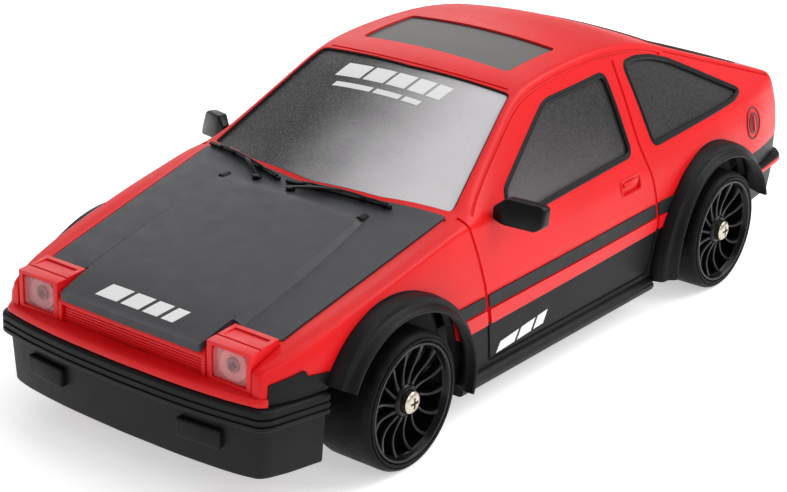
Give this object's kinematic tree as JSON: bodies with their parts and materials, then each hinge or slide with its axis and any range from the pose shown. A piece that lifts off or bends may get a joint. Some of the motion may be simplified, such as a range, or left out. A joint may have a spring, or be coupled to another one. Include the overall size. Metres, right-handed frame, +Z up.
{
  "type": "remote control drift car",
  "caption": "Small remote control drift car: plastic coupe body on a four-wheel-drive tub with linked steering and slick tyres.",
  "frame": {"origin": "centre of the bounding box on the ground plane, under the middle of the car", "axes": "+Z up, front of the car faces -Y, the car's left side is +X"},
  "size_m": [0.0872, 0.195, 0.061],
  "materials": {
    "body_red": "satin red ABS",
    "trim_black": "satin black plastic",
    "mirror_black": "gloss black plastic",
    "smoked_glazing": "painted smoked panel with fine speckle",
    "sunroof_grey": "satin grey panel",
    "lens_clear": "clear moulded lens",
    "lamp_red": "gloss red lamp panel",
    "rim_black": "gloss black plastic",
    "tyre_black": "smooth slick compound",
    "screw_steel": "zinc plated",
    "chassis_black": "moulded black nylon",
    "driveline_white": "natural acetal",
    "shaft_steel": "turned steel",
    "board_green": "solder-masked board",
    "battery_wrap": "shrink sleeve"
  },
  "bodies": {
    "chassis": {"arch_flare_front_left": "trim_black", "arch_flare_front_right": "trim_black", "arch_flare_rear_left": "trim_black", "arch_flare_rear_right": "trim_black", "battery_cover": "chassis_black", "battery_cover_screw": "screw_steel", "battery_pack": "battery_wrap", "body_shell": "body_red", "chassis_tub": "chassis_black", "circuit_board": "board_green", "door_window_left": "smoked_glazing", "door_window_right": "smoked_glazing", "drive_motor": "shaft_steel", "front_bumper": "trim_black", "front_gearbox_cover": "chassis_black", "hatch_window": "smoked_glazing", "headlamp_lens_left": "lens_clear", "headlamp_lens_right": "lens_clear", "headlamp_pod_left": "body_red", "headlamp_pod_right": "body_red", "quarter_window_left": "smoked_glazing", "quarter_window_right": "smoked_glazing", "rear_bumper": "trim_black", "rear_gearbox_cover": "chassis_black", "servo_case": "chassis_black", "side_mirror_left": "mirror_black", "side_mirror_right": "mirror_black", "side_skirt_left": "trim_black", "side_skirt_right": "trim_black", "sunroof_panel": "sunroof_grey", "tail_lamp_panel": "lamp_red", "windscreen": "smoked_glazing", "wiper_left": "trim_black", "wiper_right": "trim_black"},
    "rear_axle": {"rear_axle_shaft": "shaft_steel", "rear_drive_gear": "driveline_white", "rim_rear_left": "rim_black", "rim_rear_right": "rim_black", "tyre_rear_left": "tyre_black", "tyre_rear_right": "tyre_black", "wheel_screw_rear_left": "screw_steel", "wheel_screw_rear_right": "screw_steel"},
    "motor_drive": {"motor_pinion": "driveline_white"},
    "center_drive": {"center_shaft": "shaft_steel"},
    "front_spool": {"front_axle_spool": "driveline_white"},
    "dogbone_left_drive": {"dogbone_left": "shaft_steel"},
    "dogbone_right_drive": {"dogbone_right": "shaft_steel"},
    "servo_horn": {"servo_arm": "chassis_black"},
    "steering_link": {"tie_rod": "chassis_black"},
    "knuckle_left": {"steering_knuckle_left": "chassis_black"},
    "knuckle_right": {"steering_knuckle_right": "chassis_black"},
    "front_wheel_left": {"stub_axle_left": "shaft_steel", "rim_front_left": "rim_black", "tyre_front_left": "tyre_black", "wheel_screw_front_left": "screw_steel"},
    "front_wheel_right": {"stub_axle_right": "shaft_steel", "rim_front_right": "rim_black", "tyre_front_right": "tyre_black", "wheel_screw_front_right": "screw_steel"},
    "power_switch": {"power_switch_slider": "chassis_black"}
  },
  "joints": [
    {"name": "rear_axle_spin", "type": "hinge", "parent": "chassis", "child": "rear_axle", "pos_m": [0, 0.05375, 0.0135], "axis": [1, 0, 0], "continuous": true},
    {"name": "motor_spin", "type": "hinge", "parent": "chassis", "child": "motor_drive", "pos_m": [0, 0.04352, 0.0135], "axis": [1, 0, 0], "continuous": true},
    {"name": "center_shaft_spin", "type": "hinge", "parent": "chassis", "child": "center_drive", "pos_m": [0, 0, 0.0135], "axis": [0, 1, 0], "continuous": true},
    {"name": "front_spool_spin", "type": "hinge", "parent": "chassis", "child": "front_spool", "pos_m": [0, -0.06175, 0.0135], "axis": [1, 0, 0], "continuous": true},
    {"name": "dogbone_left_spin", "type": "hinge", "parent": "chassis", "child": "dogbone_left_drive", "pos_m": [0.0245, -0.06175, 0.0135], "axis": [1, 0, 0], "continuous": true},
    {"name": "dogbone_right_spin", "type": "hinge", "parent": "chassis", "child": "dogbone_right_drive", "pos_m": [-0.0245, -0.06175, 0.0135], "axis": [1, 0, 0], "continuous": true},
    {"name": "servo_turn", "type": "hinge", "parent": "chassis", "child": "servo_horn", "pos_m": [0.012, -0.04275, 0.0208], "axis": [0, 0, 1], "range_deg": [-20, 20]},
    {"name": "tie_rod_slide", "type": "slide", "parent": "chassis", "child": "steering_link", "axis": [1, 0, 0], "range_m": [-0.0034, 0.0034]},
    {"name": "knuckle_left_turn", "type": "hinge", "parent": "chassis", "child": "knuckle_left", "pos_m": [0.0245, -0.06175, 0.0135], "axis": [0, 0, 1], "range_deg": [-20, 20]},
    {"name": "front_wheel_left_spin", "type": "hinge", "parent": "knuckle_left", "child": "front_wheel_left", "pos_m": [0.0245, -0.06175, 0.0135], "axis": [1, 0, 0], "continuous": true},
    {"name": "knuckle_right_turn", "type": "hinge", "parent": "chassis", "child": "knuckle_right", "pos_m": [-0.0245, -0.06175, 0.0135], "axis": [0, 0, 1], "range_deg": [-20, 20]},
    {"name": "front_wheel_right_spin", "type": "hinge", "parent": "knuckle_right", "child": "front_wheel_right", "pos_m": [-0.0245, -0.06175, 0.0135], "axis": [1, 0, 0], "continuous": true},
    {"name": "power_switch_slide", "type": "slide", "parent": "chassis", "child": "power_switch", "axis": [0, 1, 0], "range_m": [-0.0025, 0.0025]}
  ],
  "couplings": [
    {"joint": "motor_spin", "follows": "rear_axle_spin", "ratio": -2.5},
    {"joint": "center_shaft_spin", "follows": "rear_axle_spin", "ratio": 2.5},
    {"joint": "front_spool_spin", "follows": "rear_axle_spin", "ratio": 1},
    {"joint": "dogbone_left_spin", "follows": "rear_axle_spin", "ratio": 1},
    {"joint": "dogbone_right_spin", "follows": "rear_axle_spin", "ratio": 1},
    {"joint": "front_wheel_left_spin", "follows": "rear_axle_spin", "ratio": 1},
    {"joint": "front_wheel_right_spin", "follows": "rear_axle_spin", "ratio": 1},
    {"joint": "tie_rod_slide", "follows": "servo_turn", "m_per_rad": 0.0095},
    {"joint": "knuckle_left_turn", "follows": "servo_turn", "ratio": -1},
    {"joint": "knuckle_right_turn", "follows": "servo_turn", "ratio": -1}
  ]
}
